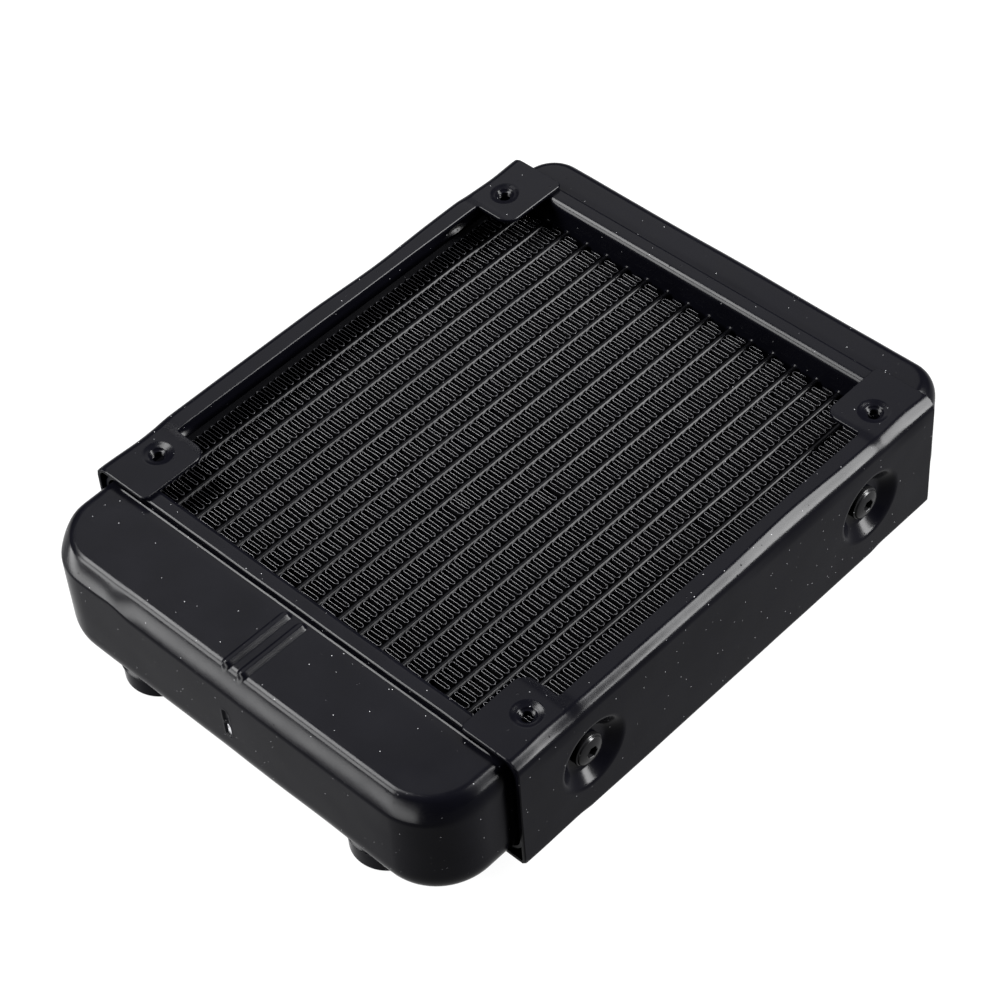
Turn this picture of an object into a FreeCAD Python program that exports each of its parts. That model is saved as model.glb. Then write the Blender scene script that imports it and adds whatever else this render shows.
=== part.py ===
import FreeCAD, Part
import math
import os

# Liquid cooling radiator for one 120 mm fan, all sizes in millimetres.
# X runs across the tubes, Y along them, Z through the core, up towards the upper fan face.
# The origin is the centre of the lower fan face. The tank with the two ports lies at -Y.

V = FreeCAD.Vector
X_AXIS = V(1, 0, 0)
Y_AXIS = V(0, 1, 0)
Z_AXIS = V(0, 0, 1)

# Whole radiator
HEIGHT = 31.3                 # from the lower fan face to the upper fan face
MID_Z = HEIGHT / 2
SHEET = 1.0                   # side plates, headers and tanks are pressed from this sheet
FIT = 0.05                    # room between pressed parts before they are brazed
CUT_PAST = 1.0                # how far a cutting shape reaches past the faces that it cuts
ON_PLANE = 1e-4               # an edge this near a plane lies in it

# Fan mounting pattern
FAN_PITCH = 105.0             # square hole pattern of a 120 mm fan
FAN_HOLE_R = 1.25             # M3 core hole
BURR_R = 2.1                  # drawn collar round each hole, outside radius
BURR_DEPTH = 2.4              # from the fan face to the end of the collar
DIMPLE_R = 2.5                # mouth of the dimple round each hole
DIMPLE_DEPTH = 0.45

# Folded side plates
PLATE_HALF_WIDTH = 60.1       # centre plane to the outside of the plate
PLATE_HALF_LENGTH = 63.2
BEND_R = 2.8                  # outside radius of the folds
EAR_REACH_X = 44.8            # inner edge of the ears that carry the fan holes
EAR_START_Y = 45.5            # the ears run from here to the end of the plate
FLANGE_REACH_X = 54.2         # inner edge of the narrow flange between the ears
EAR_CORNER_R = 3.2
EAR_END_R = 1.2
NOTCH_R = 0.8

# Screw dishes in the side plates
DISH_Y = 42.6
DISH_MOUTH_R = 8.9
DISH_FLOOR_R = 4.9
DISH_DEPTH = 2.5
DISH_EDGE_R = 0.9
SCREW_R = 1.9                 # M4 button head screw
SCREW_HOLE_R = 2.25
SCREW_HEAD_R = 3.8
SCREW_HEAD_HEIGHT = 2.0
SCREW_HEAD_ROUND = 1.5
SCREW_LENGTH = 3.2
SOCKET_FLATS = 2.5
SOCKET_SIDES = 6
SOCKET_DEPTH = 1.2

# Tubes and fins of the core
TUBE_COUNT = 18
TUBE_PITCH = 6.0
TUBE_THICK = 1.4
TUBE_WALL = 0.3
TUBE_NOSE_R = TUBE_THICK / 2 - 0.001     # round nose, with a sliver of flat between its arcs
CORE_DEPTH = 16.0             # tube width and fin width, through the core
CORE_BOTTOM = MID_Z - CORE_DEPTH / 2
TUBE_END_Y = 60.6             # tubes stand this far out from the middle, into the tanks
FIN_THICK = 0.15
FIN_WAVES = 60
FIN_CREST = 0.36              # flat of each fold that lies on a tube
FIN_END_GAP = 0.4             # from a fin's end to the header

# Core side channels
CHANNEL_SHEET = 0.6
CHANNEL_INNER_X = 56.0        # the outermost fins fill the room from here to the outer tubes
CHANNEL_LIP = 0.8
COLLAR_R = 2.8                # tapped collar for a side screw
COLLAR_BORE_R = 2.0
COLLAR_DEPTH = 1.4
POCKET_R = 3.2                # room for the collar and the screw in the outermost fins
POCKET_DEPTH = 1.9

# Header pans
HEADER_FACE_Y = 58.2          # the face towards the core
HEADER_LIP_Y = 62.4
HEADER_HALF_WIDTH = PLATE_HALF_WIDTH - SHEET - FIT
HEADER_BOTTOM = SHEET
HEADER_CORNER_R = 5.2
HEADER_BEND_R = 1.6

# Tanks
TANK_HALF_WIDTH = HEADER_HALF_WIDTH - SHEET - FIT
TANK_BOTTOM = HEADER_BOTTOM + SHEET + FIT
TANK_TOP = HEIGHT - TANK_BOTTOM
TANK_OPEN_Y = HEADER_FACE_Y + SHEET + FIT
TANK_EDGE_R = 4.2
PORT_TANK_END_Y = 83.8
PORT_TANK_CORNER_R = 13.8
RETURN_TANK_END_Y = 72.9
RETURN_TANK_CORNER_R = 8.6

# Baffle in the port tank, and the ribs and tabs that hold it
BAFFLE_X = -0.9
BAFFLE_THICK = 1.1
RIB_CENTRE_X = 0.6
RIB_HALF_SPACING = 2.2
RIB_OUTER_R = 1.6
RIB_RISE = 0.75               # height of a rib over the tank's face
RIB_OUTER_END_Y = -81.4
RIB_INNER_END_Y = -65.6
TAB_HEIGHT = 3.4
TAB_CENTRE_Z = 14.0
TAB_HALF_SPACING = 2.0
TAB_RECESS = 0.4              # the tabs end this far inside the tank's end face

# Inlet and outlet bosses
PORT_X = 33.4
PORT_Y = -74.4
BOSS_R = 8.2
BOSS_BOTTOM = -3.4
BOSS_CHAMFER = 0.7
SPIGOT_R = 7.3
SPIGOT_PROUD = 0.6            # spigot end above the inside of the tank's floor
PORT_BORE_R = 5.72            # G1/4 minor radius
PORT_MOUTH_R = 6.7


def mirror_x(shape):
    return shape.mirror(V(0, 0, 0), X_AXIS)


def mirror_mid_z(shape):
    return shape.mirror(V(0, 0, MID_Z), Z_AXIS)


def rounded_outline(corners):
    """Closed wire in the XY plane through (x, y, radius) corners, each rounded by an arc."""
    count = len(corners)
    pieces = []
    starts = []
    ends = []
    for i in range(count):
        x, y, radius = corners[i]
        here = V(x, y, 0)
        before = V(corners[i - 1][0], corners[i - 1][1], 0) - here
        after = V(corners[(i + 1) % count][0], corners[(i + 1) % count][1], 0) - here
        before.normalize()
        after.normalize()
        half_angle = before.getAngle(after) / 2
        setback = radius / math.tan(half_angle)
        bisector = before + after
        bisector.normalize()
        centre = here + bisector * (radius / math.sin(half_angle))
        starts.append(here + before * setback)
        ends.append(here + after * setback)
        pieces.append(centre - bisector * radius)
    edges = []
    for i in range(count):
        if corners[i][2] > 0:
            edges.append(Part.Arc(starts[i], pieces[i], ends[i]).toShape())
        edges.append(Part.LineSegment(ends[i], starts[(i + 1) % count]).toShape())
    return Part.Wire(edges)


def prism(corners, bottom, top):
    """Upright solid on a rounded outline, from z = bottom to z = top."""
    face = Part.Face(rounded_outline(corners))
    solid = face.extrude(V(0, 0, top - bottom))
    solid.translate(V(0, 0, bottom))
    return solid


def bar_along_y(half_width, bottom, top, corner_r, y_start, y_end):
    """Solid with a rounded rectangle section in XZ, between two y values."""
    corners = [
        (-half_width, bottom, corner_r),
        (half_width, bottom, corner_r),
        (half_width, top, corner_r),
        (-half_width, top, corner_r),
    ]
    solid = prism(corners, 0, y_end - y_start)
    solid.rotate(V(0, 0, 0), X_AXIS, 90)
    solid.translate(V(0, y_end, 0))
    return solid


def edges_in_plane(solid, axis, value, skip=None):
    """Edges of a solid that lie wholly in the plane axis = value, less those that skip() names."""
    found = []
    for edge in solid.Edges:
        ends = [getattr(v.Point, axis) for v in edge.Vertexes]
        middle = getattr(edge.valueAt((edge.FirstParameter + edge.LastParameter) / 2), axis)
        if all(abs(c - value) < ON_PLANE for c in ends + [middle]):
            if skip is None or not skip(edge):
                found.append(edge)
    return found


# ---- Side plates ------------------------------------------------------------------------------

def plate_channel():
    """The folded U section, before the ears are cut: wall at +X, flanges reaching to the ears."""
    def long_block(x_outer, bottom, top, radius):
        block = Part.makeBox(
            x_outer - EAR_REACH_X, 2 * PLATE_HALF_LENGTH, top - bottom,
            V(EAR_REACH_X, -PLATE_HALF_LENGTH, bottom),
        )
        folds = [e for e in edges_in_plane(block, "x", x_outer) if e.Length > PLATE_HALF_LENGTH]
        return block.makeFillet(radius, folds)

    outside = long_block(PLATE_HALF_WIDTH, 0, HEIGHT, BEND_R)
    inside = long_block(PLATE_HALF_WIDTH - SHEET, SHEET, HEIGHT - SHEET, BEND_R - SHEET)
    return outside.cut(inside)


def plate_outline():
    """Plan of the folded plate, with an ear at each end."""
    outer = PLATE_HALF_WIDTH
    end = PLATE_HALF_LENGTH
    return [
        (outer, -end, 0),
        (outer, end, 0),
        (EAR_REACH_X, end, EAR_END_R),
        (EAR_REACH_X, EAR_START_Y, EAR_CORNER_R),
        (FLANGE_REACH_X, EAR_START_Y, NOTCH_R),
        (FLANGE_REACH_X, -EAR_START_Y, NOTCH_R),
        (EAR_REACH_X, -EAR_START_Y, EAR_CORNER_R),
        (EAR_REACH_X, -end, EAR_END_R),
    ]


def fan_hole_collar(x, y):
    """Collar drawn down from the upper flange, as the metal that is added to it."""
    return Part.makeCylinder(BURR_R, BURR_DEPTH - SHEET, V(x, y, HEIGHT - BURR_DEPTH))


def fan_hole_cut(x, y):
    """Dimple and core hole of one fan screw in the upper flange."""
    hole = Part.makeCylinder(FAN_HOLE_R, BURR_DEPTH, V(x, y, HEIGHT - BURR_DEPTH))
    dimple = Part.makeCone(
        FAN_HOLE_R, DIMPLE_R, DIMPLE_DEPTH, V(x, y, HEIGHT - DIMPLE_DEPTH)
    )
    return hole.fuse(dimple)


def dish_cone(x_floor, y):
    """Truncated cone of a screw dish, from its floor outwards."""
    return Part.makeCone(DISH_FLOOR_R, DISH_MOUTH_R, DISH_DEPTH, V(x_floor, y, MID_Z), X_AXIS)


def side_plate():
    """The +X side plate: a U channel with fan ears, screw dishes and tapped fan holes."""
    plate = plate_channel().common(prism(plate_outline(), 0, HEIGHT))
    floor_outside = PLATE_HALF_WIDTH - DISH_DEPTH
    floor_inside = floor_outside - SHEET
    for y in (-DISH_Y, DISH_Y):
        plate = plate.fuse(dish_cone(floor_inside, y))
        plate = plate.cut(dish_cone(floor_outside, y))
        hole_start = V(floor_inside - CUT_PAST, y, MID_Z)
        plate = plate.cut(
            Part.makeCylinder(SCREW_HOLE_R, SHEET + 2 * CUT_PAST, hole_start, X_AXIS)
        )
    plate = plate.removeSplitter()
    rims = [e for e in edges_in_plane(plate, "x", PLATE_HALF_WIDTH) if len(e.Vertexes) == 1]
    plate = plate.makeFillet(DISH_EDGE_R, rims)
    half_pitch = FAN_PITCH / 2
    for y in (-half_pitch, half_pitch):
        collar = fan_hole_collar(half_pitch, y)
        cutter = fan_hole_cut(half_pitch, y)
        plate = plate.fuse([collar, mirror_mid_z(collar)])
        plate = plate.cut([cutter, mirror_mid_z(cutter)])
    return plate.removeSplitter()


def hex_prism(flats, height):
    """Hexagonal prism on the origin, along Z, with the given width over its flats."""
    side_angle = 2 * math.pi / SOCKET_SIDES
    radius = flats / 2 / math.cos(side_angle / 2)
    points = [
        V(radius * math.cos(k * side_angle), radius * math.sin(k * side_angle), 0)
        for k in range(SOCKET_SIDES)
    ]
    return Part.Face(Part.makePolygon(points + points[:1])).extrude(V(0, 0, height))


def side_screw():
    """One button head screw on the origin, with its head towards +Z."""
    head = Part.makeCylinder(SCREW_HEAD_R, SCREW_HEAD_HEIGHT)
    head = head.makeFillet(SCREW_HEAD_ROUND, edges_in_plane(head, "z", SCREW_HEAD_HEIGHT))
    shank = Part.makeCylinder(SCREW_R, SCREW_LENGTH, V(0, 0, -SCREW_LENGTH))
    socket = hex_prism(SOCKET_FLATS, SOCKET_DEPTH)
    socket.translate(V(0, 0, SCREW_HEAD_HEIGHT - SOCKET_DEPTH))
    return head.fuse(shank).cut(socket).removeSplitter()


def side_screws():
    """The four side screws, two in each side plate, as a group of separate solids."""
    group = []
    for y in (-DISH_Y, DISH_Y):
        screw = side_screw()
        screw.rotate(V(0, 0, 0), Y_AXIS, 90)
        screw.translate(V(PLATE_HALF_WIDTH - DISH_DEPTH, y, MID_Z))
        group.extend([screw, mirror_x(screw)])
    return Part.makeCompound(group)


# ---- Core -------------------------------------------------------------------------------------

def tube_x(index):
    """Centre of tube number index, counted from 0 at -X."""
    return (index - (TUBE_COUNT - 1) / 2) * TUBE_PITCH


def flat_section(x, grow, length):
    """Bar along Y with the round-nosed flat section of a tube, grown all round, at the core."""
    half_depth = CORE_DEPTH / 2 + grow
    half_thick = TUBE_THICK / 2 + grow
    bar = bar_along_y(
        half_depth, -half_thick, half_thick, TUBE_NOSE_R + grow, -length / 2, length / 2
    )
    bar.rotate(V(0, 0, 0), Y_AXIS, 90)
    bar.translate(V(x, 0, MID_Z))
    return bar


def flat_tube(index):
    """One flat coolant tube, open at both ends."""
    length = 2 * TUBE_END_Y
    outside = flat_section(tube_x(index), 0, length)
    bore = flat_section(tube_x(index), -TUBE_WALL, length + 2 * CUT_PAST)
    return outside.cut(bore)


def wave_path(height, waves, length, crest):
    """Centre line of a folded fin, from -Y to +Y, as points in the XY plane."""
    step = length / (2 * waves)
    points = []
    for k in range(2 * waves):
        side = 1 if k % 2 else -1
        y = -length / 2 + (k + 0.5) * step
        points.append(V(side * height / 2, y - crest / 2, 0))
        points.append(V(side * height / 2, y + crest / 2, 0))
    return points


def thicken_path(points, thickness):
    """Closed outline of a strip of the given thickness along a polyline."""
    normals = []
    for a, b in zip(points, points[1:]):
        run = b - a
        run.normalize()
        normals.append(V(-run.y, run.x, 0))
    left = []
    right = []
    for i, point in enumerate(points):
        n0 = normals[max(i - 1, 0)]
        n1 = normals[min(i, len(normals) - 1)]
        mitre = n0 + n1
        mitre.normalize()
        offset = mitre * (thickness / 2 / mitre.dot(n1))
        left.append(point + offset)
        right.append(point - offset)
    outline = left + right[::-1]
    return outline + outline[:1]


def fin_room(index):
    """Lowest and highest x of the room of fin strip number index, counted from 0 at -X."""
    low = -CHANNEL_INNER_X if index == 0 else tube_x(index - 1) + TUBE_THICK / 2
    high = CHANNEL_INNER_X if index == TUBE_COUNT else tube_x(index) - TUBE_THICK / 2
    return low, high


def fin_strip(index):
    """One folded fin strip between two tubes, or between an outer tube and a side channel."""
    low, high = fin_room(index)
    length = 2 * (HEADER_FACE_Y - FIN_END_GAP)
    path = wave_path(high - low - FIN_THICK - FIT, FIN_WAVES, length, FIN_CREST)
    outline = Part.Face(Part.makePolygon(thicken_path(path, FIN_THICK)))
    strip = outline.extrude(V(0, 0, CORE_DEPTH))
    strip.translate(V((low + high) / 2, 0, CORE_BOTTOM))
    if index in (0, TUBE_COUNT):
        side = 1 if index else -1
        for y in (-DISH_Y, DISH_Y):
            start = V(side * (CHANNEL_INNER_X - POCKET_DEPTH), y, MID_Z)
            strip = strip.cut(Part.makeCylinder(POCKET_R, TUBE_PITCH, start, X_AXIS * side))
    return strip


def side_channel():
    """The +X side channel of the core: a web on the outermost fins and two short lips."""
    reach = CHANNEL_SHEET + CHANNEL_LIP
    length = 2 * (HEADER_FACE_Y - FIT)
    block = Part.makeBox(
        reach, length, CORE_DEPTH, V(CHANNEL_INNER_X, -length / 2, CORE_BOTTOM)
    )
    trough = Part.makeBox(
        CHANNEL_LIP, length, CORE_DEPTH - 2 * CHANNEL_SHEET,
        V(CHANNEL_INNER_X + CHANNEL_SHEET, -length / 2, CORE_BOTTOM + CHANNEL_SHEET),
    )
    channel = block.cut(trough)
    for y in (-DISH_Y, DISH_Y):
        collar_end = V(CHANNEL_INNER_X - COLLAR_DEPTH, y, MID_Z)
        channel = channel.fuse(Part.makeCylinder(COLLAR_R, COLLAR_DEPTH, collar_end, X_AXIS))
        channel = channel.cut(
            Part.makeCylinder(COLLAR_BORE_R, COLLAR_DEPTH + CHANNEL_SHEET, collar_end, X_AXIS)
        )
    return channel.removeSplitter()


# ---- Headers and tanks ------------------------------------------------------------------------

def header_pan():
    """The +Y header: a shallow pan, slotted for the tubes, with its lip away from the core."""
    top = HEIGHT - HEADER_BOTTOM
    outside = bar_along_y(
        HEADER_HALF_WIDTH, HEADER_BOTTOM, top, HEADER_CORNER_R, HEADER_FACE_Y, HEADER_LIP_Y
    )
    outside = outside.makeFillet(HEADER_BEND_R, edges_in_plane(outside, "y", HEADER_FACE_Y))
    inside = bar_along_y(
        HEADER_HALF_WIDTH - SHEET, HEADER_BOTTOM + SHEET, top - SHEET, HEADER_CORNER_R - SHEET,
        HEADER_FACE_Y + SHEET, HEADER_LIP_Y,
    )
    pan = outside.cut(inside)
    slots = []
    for index in range(TUBE_COUNT):
        slot = flat_section(tube_x(index), FIT, SHEET + 2 * CUT_PAST)
        slot.translate(V(0, HEADER_FACE_Y + SHEET / 2, 0))
        slots.append(slot)
    return pan.cut(slots)


def tank_block(inset, end_y, corner_r):
    """Solid with the shape of a tank at +Y, inset all round except at its open end."""
    half = TANK_HALF_WIDTH - inset
    corners = [
        (-half, TANK_OPEN_Y, 0),
        (half, TANK_OPEN_Y, 0),
        (half, end_y - inset, corner_r - inset),
        (-half, end_y - inset, corner_r - inset),
    ]
    bottom = TANK_BOTTOM + inset
    top = TANK_TOP - inset
    block = prism(corners, bottom, top)

    def on_open_end(edge):
        return all(abs(v.Point.y - TANK_OPEN_Y) < ON_PLANE for v in edge.Vertexes)

    rims = edges_in_plane(block, "z", bottom, on_open_end)
    rims += edges_in_plane(block, "z", top, on_open_end)
    return block.makeFillet(TANK_EDGE_R - inset, rims)


def tank_shell(end_y, corner_r):
    """A drawn tank at +Y, open towards the core."""
    return tank_block(0, end_y, corner_r).cut(tank_block(SHEET, end_y, corner_r))


def rib(x, radius):
    """Round-ended bar along Y that stands out of the top of the port tank."""
    centre_z = TANK_TOP + RIB_RISE - RIB_OUTER_R
    start = V(x, RIB_OUTER_END_Y, centre_z)
    end = V(x, RIB_INNER_END_Y, centre_z)
    bar = Part.makeCylinder(radius, RIB_INNER_END_Y - RIB_OUTER_END_Y, start, Y_AXIS)
    return bar.fuse([Part.makeSphere(radius, start), Part.makeSphere(radius, end)])


def baffle_tabs(room, y_outer):
    """The two round-ended tabs of the baffle in the port tank's end wall, from y_outer inwards."""
    radius = BAFFLE_THICK / 2 + room
    y_inner = -PORT_TANK_END_Y + SHEET + CUT_PAST
    half_round = TAB_HEIGHT / 2 - BAFFLE_THICK / 2
    tabs = []
    for side in (-1, 1):
        low = TAB_CENTRE_Z + side * TAB_HALF_SPACING - half_round
        block = Part.makeBox(
            2 * radius, y_inner - y_outer, 2 * half_round, V(BAFFLE_X - radius, y_outer, low)
        )
        ends = [
            Part.makeCylinder(radius, y_inner - y_outer, V(BAFFLE_X, y_outer, z), Y_AXIS)
            for z in (low, low + 2 * half_round)
        ]
        tabs.append(block.fuse(ends).removeSplitter())
    return tabs


def port_tank():
    """The tank with the two ports: ribs either side of the baffle, tab slots and boss holes."""
    def block(inset):
        solid = tank_block(inset, PORT_TANK_END_Y, PORT_TANK_CORNER_R)
        return solid.mirror(V(0, 0, 0), Y_AXIS)

    ribs = []
    grooves = []
    for side in (-1, 1):
        x = RIB_CENTRE_X + side * RIB_HALF_SPACING
        for bars, radius in ((ribs, RIB_OUTER_R), (grooves, RIB_OUTER_R - SHEET)):
            bar = rib(x, radius)
            bars.extend([bar, mirror_mid_z(bar)])
    shell = block(0).fuse(ribs).cut([block(SHEET)] + grooves)
    shell = shell.cut(baffle_tabs(FIT, -PORT_TANK_END_Y - CUT_PAST))
    for x in (-PORT_X, PORT_X):
        hole_start = V(x, PORT_Y, TANK_BOTTOM - CUT_PAST)
        shell = shell.cut(Part.makeCylinder(SPIGOT_R + FIT, SHEET + 2 * CUT_PAST, hole_start))
    return shell.removeSplitter()


def return_tank():
    """The tank that turns the coolant round at the far end of the tubes."""
    return tank_shell(RETURN_TANK_END_Y, RETURN_TANK_CORNER_R)


def baffle():
    """Plate that parts the port tank into an inlet side and an outlet side."""
    corner = V(BAFFLE_X - BAFFLE_THICK / 2, -PORT_TANK_END_Y, 0)
    blank = Part.makeBox(BAFFLE_THICK, PORT_TANK_END_Y, HEIGHT, corner)
    cavity = tank_block(SHEET + FIT, PORT_TANK_END_Y, PORT_TANK_CORNER_R)
    plate = blank.common(cavity.mirror(V(0, 0, 0), Y_AXIS))
    return plate.fuse(baffle_tabs(0, -PORT_TANK_END_Y + TAB_RECESS)).removeSplitter()


def port_boss(x):
    """One turned G1/4 boss: collar under the tank, spigot through its floor, core bore."""
    spigot_top = TANK_BOTTOM + SHEET + SPIGOT_PROUD
    collar = Part.makeCylinder(BOSS_R, spigot_top - BOSS_BOTTOM, V(x, PORT_Y, BOSS_BOTTOM))
    collar = collar.makeChamfer(BOSS_CHAMFER, edges_in_plane(collar, "z", BOSS_BOTTOM))
    tank = tank_block(0, PORT_TANK_END_Y, PORT_TANK_CORNER_R).mirror(V(0, 0, 0), Y_AXIS)
    spigot = Part.makeCylinder(SPIGOT_R, spigot_top, V(x, PORT_Y, 0))
    bore = Part.makeCylinder(PORT_BORE_R, spigot_top - BOSS_BOTTOM, V(x, PORT_Y, BOSS_BOTTOM))
    mouth_height = PORT_MOUTH_R - PORT_BORE_R
    mouth = Part.makeCone(PORT_MOUTH_R, PORT_BORE_R, mouth_height, V(x, PORT_Y, BOSS_BOTTOM))
    return collar.cut(tank).fuse(spigot).cut([bore, mouth]).removeSplitter()


# ---- Write every piece ------------------------------------------------------------------------

def all_pieces():
    """Node name and shape of every piece."""
    plate = side_plate()
    channel = side_channel()
    header = header_pan()
    pieces = {
        "side_plate_right": plate,
        "side_plate_left": mirror_x(plate),
        "side_screws": side_screws(),
        "core_channel_right": channel,
        "core_channel_left": mirror_x(channel),
        "return_header": header,
        "port_header": header.mirror(V(0, 0, 0), Y_AXIS),
        "return_tank": return_tank(),
        "port_tank": port_tank(),
        "port_baffle": baffle(),
        "inlet_boss": port_boss(-PORT_X),
        "outlet_boss": port_boss(PORT_X),
    }
    for index in range(TUBE_COUNT):
        pieces["tube_%02d" % (index + 1)] = flat_tube(index)
    for index in range(TUBE_COUNT + 1):
        pieces["fin_%02d" % (index + 1)] = fin_strip(index)
    return pieces


os.makedirs("parts", exist_ok=True)
for name, shape in all_pieces().items():
    shape.exportStep("parts/%s.step" % name)
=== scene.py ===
import math
import random

import bmesh
import bpy
import numpy as np
from mathutils import Matrix, Vector, noise
from mathutils.geometry import delaunay_2d_cdt


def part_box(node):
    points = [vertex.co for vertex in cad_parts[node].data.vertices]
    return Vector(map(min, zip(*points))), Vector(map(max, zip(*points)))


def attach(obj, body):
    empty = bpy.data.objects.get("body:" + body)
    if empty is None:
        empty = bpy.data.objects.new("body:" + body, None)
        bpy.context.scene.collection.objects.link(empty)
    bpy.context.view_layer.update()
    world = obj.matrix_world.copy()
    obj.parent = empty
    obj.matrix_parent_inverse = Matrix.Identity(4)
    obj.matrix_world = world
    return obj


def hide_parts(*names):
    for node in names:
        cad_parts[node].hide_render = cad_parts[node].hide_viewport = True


# Liquid cooling radiator. Lengths below are in millimetres, in the CAD frame:
# X across the tubes, Y along them, Z up through the core. Meshes are written in metres.

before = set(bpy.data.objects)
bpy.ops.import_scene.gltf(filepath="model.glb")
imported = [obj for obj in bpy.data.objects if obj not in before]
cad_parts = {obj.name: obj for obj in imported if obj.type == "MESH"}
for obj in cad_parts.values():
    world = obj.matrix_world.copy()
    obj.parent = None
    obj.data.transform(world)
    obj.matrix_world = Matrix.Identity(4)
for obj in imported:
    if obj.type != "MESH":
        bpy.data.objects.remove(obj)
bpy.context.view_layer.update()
MM = 0.001


def node_box(node):
    """Lowest and highest corner of a CAD node, in millimetres."""
    low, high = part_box(node)
    return np.array(low) / MM, np.array(high) / MM


PLATE_LOW, PLATE_HIGH = node_box("side_plate_right")
HEADER_LOW, HEADER_HIGH = node_box("return_header")
RETURN_TANK_LOW, _ = node_box("return_tank")
BOSS_LOW, BOSS_HIGH = node_box("outlet_boss")
TUBE_LOW, TUBE_HIGH = node_box("tube_01")

MID_Z = PLATE_HIGH[2] / 2
SHEET = 1.0
EDGE_R = 0.26  # rounding of a painted sheet edge
SEED = 20

ARC_STEP = math.radians(12)  # rounded corners get a mesh point at least this often
MESH_CLEARANCE = 0.12  # inner mesh points stay this far from every outline
WELD = 1e-5  # mesh points closer than this become one
TINY = 1e-9

# ---- Mesh helpers ----


def area_normals(points, triangles):
    """Vertex normals weighted by face area, so that flats stay flat beside their rounded edges."""
    a, b, c = (points[triangles[:, k]] for k in range(3))
    cross = np.cross(b - a, c - a)
    normals = np.zeros_like(points)
    for k in range(3):
        np.add.at(normals, triangles[:, k], cross)
    lengths = np.linalg.norm(normals, axis=1, keepdims=True)
    return normals / np.maximum(lengths, TINY ** 2)


def add_piece(name, points, faces, materials, nodes, face_slots=None, known=None):
    """Makes a mesh piece from millimetre points, rides it on the body and replaces CAD nodes."""
    mesh = bpy.data.meshes.new(name)
    mesh.from_pydata((np.asarray(points) * MM).tolist(), [], faces)
    for material in materials:
        mesh.materials.append(material)
    if face_slots is not None:
        mesh.polygons.foreach_set("material_index", face_slots)
    work = bmesh.new()
    work.from_mesh(mesh)
    bmesh.ops.recalc_face_normals(work, faces=work.faces)
    work.to_mesh(mesh)
    work.free()
    mesh.polygons.foreach_set("use_smooth", [True] * len(mesh.polygons))
    mesh.calc_loop_triangles()
    corner = np.empty(3 * len(mesh.loop_triangles), np.int32)
    mesh.loop_triangles.foreach_get("vertices", corner)
    place = np.empty(3 * len(mesh.vertices), np.float32)
    mesh.vertices.foreach_get("co", place)
    normals = area_normals(place.reshape(-1, 3).astype(float), corner.reshape(-1, 3))
    if known is not None:
        facing = np.sign(np.sum(normals[:len(known)] * known, axis=1, keepdims=True))
        normals[:len(known)] = known * np.where(facing == 0, 1, facing)
    mesh.normals_split_custom_set_from_vertices(normals.tolist())
    piece = bpy.data.objects.new(name, mesh)
    bpy.context.scene.collection.objects.link(piece)
    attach(piece, "root")
    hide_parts(*nodes)
    return piece


def rounded_loop(corners, step):
    """Points and inward normals along a closed outline of (u, v, radius) corners."""
    count = len(corners)
    spots = np.array([c[:2] for c in corners], float)
    ahead = np.roll(spots, -1, axis=0)
    turning = np.sum(spots[:, 0] * ahead[:, 1] - spots[:, 1] * ahead[:, 0])
    inward = 1 if turning > 0 else -1
    points = []
    normals = []
    pieces = []
    for i in range(count):
        here, radius = spots[i], corners[i][2]
        before = spots[i - 1] - here
        after = spots[(i + 1) % count] - here
        before /= np.linalg.norm(before)
        after /= np.linalg.norm(after)
        half = math.acos(np.clip(before @ after, -1, 1)) / 2
        bisector = (before + after) / np.linalg.norm(before + after)
        centre = here + bisector * radius / math.sin(half)
        start = here + before * radius / math.tan(half)
        end = here + after * radius / math.tan(half)
        pieces.append((start, end, centre, radius, half, -bisector, before, after))
    for i in range(count):
        _, end, centre, radius, half, middle, before, after = pieces[i]
        sweep = math.pi - 2 * half
        side = 1 if before[0] * after[1] - before[1] * after[0] < 0 else -1
        convex = side * inward
        parts = max(2, int(math.ceil(sweep / ARC_STEP)))
        base = math.atan2(middle[1], middle[0])
        for k in range(parts + 1):
            angle = base + side * (k / parts - 0.5) * sweep
            direction = np.array([math.cos(angle), math.sin(angle)])
            points.append(centre + radius * direction)
            normals.append(-convex * direction)
        line = pieces[(i + 1) % count][0] - end
        length = np.linalg.norm(line)
        parts = max(1, int(round(length / step)))
        along = line / max(length, TINY)
        for k in range(1, parts):
            points.append(end + line * k / parts)
            normals.append(inward * np.array([-along[1], along[0]]))
    return np.array(points), np.array(normals)


def circle_loop(u, v, radius, count):
    """Points of a round hole's edge and the normals that point away from its middle."""
    angle = np.arange(count) * 2 * math.pi / count
    normals = np.stack([np.cos(angle), np.sin(angle)], axis=1)
    return np.array([u, v]) + radius * normals, normals


def inside_polygon(points, polygon):
    """True for each point that lies inside the closed polygon."""
    u, v = points[:, 0:1], points[:, 1:2]
    a, b = polygon, np.roll(polygon, -1, axis=0)
    crosses = (a[:, 1] > v) != (b[:, 1] > v)
    rise = np.where(np.abs(b[:, 1] - a[:, 1]) < 1e-12, 1e-12, b[:, 1] - a[:, 1])
    at = (b[:, 0] - a[:, 0]) * (v - a[:, 1]) / rise + a[:, 0]
    return (np.sum(crosses & (u < at), axis=1) % 2).astype(bool)


def distance_to_polygon(points, polygon):
    """Distance from each point to the nearest side of the closed polygon."""
    a, b = polygon, np.roll(polygon, -1, axis=0)
    side = b - a
    length_squared = np.maximum(np.sum(side * side, axis=1), 1e-12)
    share = np.sum((points[:, None] - a) * side, axis=2) / length_squared
    nearest = a + np.clip(share, 0, 1)[:, :, None] * side
    return np.min(np.linalg.norm(points[:, None] - nearest, axis=2), axis=1)


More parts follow.
